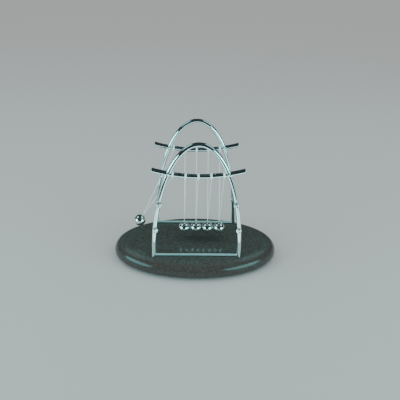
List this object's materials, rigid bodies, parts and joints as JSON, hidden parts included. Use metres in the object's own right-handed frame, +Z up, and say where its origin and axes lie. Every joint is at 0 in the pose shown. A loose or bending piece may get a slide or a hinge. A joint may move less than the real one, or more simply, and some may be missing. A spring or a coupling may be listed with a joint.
{
  "type": "newtons cradle",
  "caption": "Desk Newton's cradle: steel balls on V-shaped threads between two arched wire frames on an oval base, one ball raised.",
  "frame": {"origin": "bottom centre of the base, on the ground", "axes": "+X along the base's long axis and the row of balls, towards the end away from the raised ball; -Y towards the front; +Z up"},
  "size_m": [0.183, 0.112, 0.1503],
  "materials": {
    "base": "black, polished, with a very fine speckle",
    "felt": "black felt",
    "arches": "polished chrome-plated wire",
    "crossbars": "polished chrome, which reflects dark surroundings",
    "studs": "satin",
    "collars": "pale satin nylon",
    "fasteners": "zinc-plated",
    "balls": "polished steel",
    "eyelets": "bright wire",
    "threads": "translucent nylon line"
  },
  "bodies": {
    "frame": {"base": "base", "felt_pad": "felt", "washer_front_left": "fasteners", "nut_front_left": "fasteners", "washer_front_right": "fasteners", "nut_front_right": "fasteners", "washer_rear_left": "fasteners", "nut_rear_left": "fasteners", "washer_rear_right": "fasteners", "nut_rear_right": "fasteners", "front_arch": "arches", "front_bottom_bar": "arches", "front_crossbar": "crossbars", "front_bar_tip_left": "crossbars", "front_bar_tip_right": "crossbars", "front_collar_1": "collars", "front_collar_2": "collars", "front_collar_3": "collars", "front_collar_4": "collars", "front_collar_5": "collars", "stud_front_left_lower": "studs", "stud_front_left_upper": "studs", "stud_front_right_lower": "studs", "stud_front_right_upper": "studs", "rear_arch": "arches", "rear_bottom_bar": "arches", "rear_crossbar": "crossbars", "rear_bar_tip_left": "crossbars", "rear_bar_tip_right": "crossbars", "rear_collar_1": "collars", "rear_collar_2": "collars", "rear_collar_3": "collars", "rear_collar_4": "collars", "rear_collar_5": "collars", "stud_rear_left_lower": "studs", "stud_rear_left_upper": "studs", "stud_rear_right_lower": "studs", "stud_rear_right_upper": "studs"},
    "ball_1": {"ball_1": "balls", "eyelet_1": "eyelets", "thread_1": "threads"},
    "ball_2": {"ball_2": "balls", "eyelet_2": "eyelets", "thread_2": "threads"},
    "ball_3": {"ball_3": "balls", "eyelet_3": "eyelets", "thread_3": "threads"},
    "ball_4": {"ball_4": "balls", "eyelet_4": "eyelets", "thread_4": "threads"},
    "ball_5": {"ball_5": "balls", "eyelet_5": "eyelets", "thread_5": "threads"}
  },
  "joints": [
    {"name": "ball_1_swing", "type": "hinge", "parent": "frame", "child": "ball_1", "pos_m": [-0.026, 0, 0.11239], "axis": [0, 1, 0], "range_deg": [-28.2, 22]},
    {"name": "ball_2_swing", "type": "hinge", "parent": "frame", "child": "ball_2", "pos_m": [-0.013, 0, 0.11089], "axis": [0, 1, 0], "range_deg": [-0.22, 28.4]},
    {"name": "ball_3_swing", "type": "hinge", "parent": "frame", "child": "ball_3", "pos_m": [0, 0, 0.1104], "axis": [0, 1, 0], "range_deg": [-0.22, 0.22]},
    {"name": "ball_4_swing", "type": "hinge", "parent": "frame", "child": "ball_4", "pos_m": [0.013, 0, 0.11089], "axis": [0, 1, 0], "range_deg": [-0.22, 0.22]},
    {"name": "ball_5_swing", "type": "hinge", "parent": "frame", "child": "ball_5", "pos_m": [0.026, 0, 0.11239], "axis": [0, 1, 0], "range_deg": [-50, 0.21]}
  ]
}
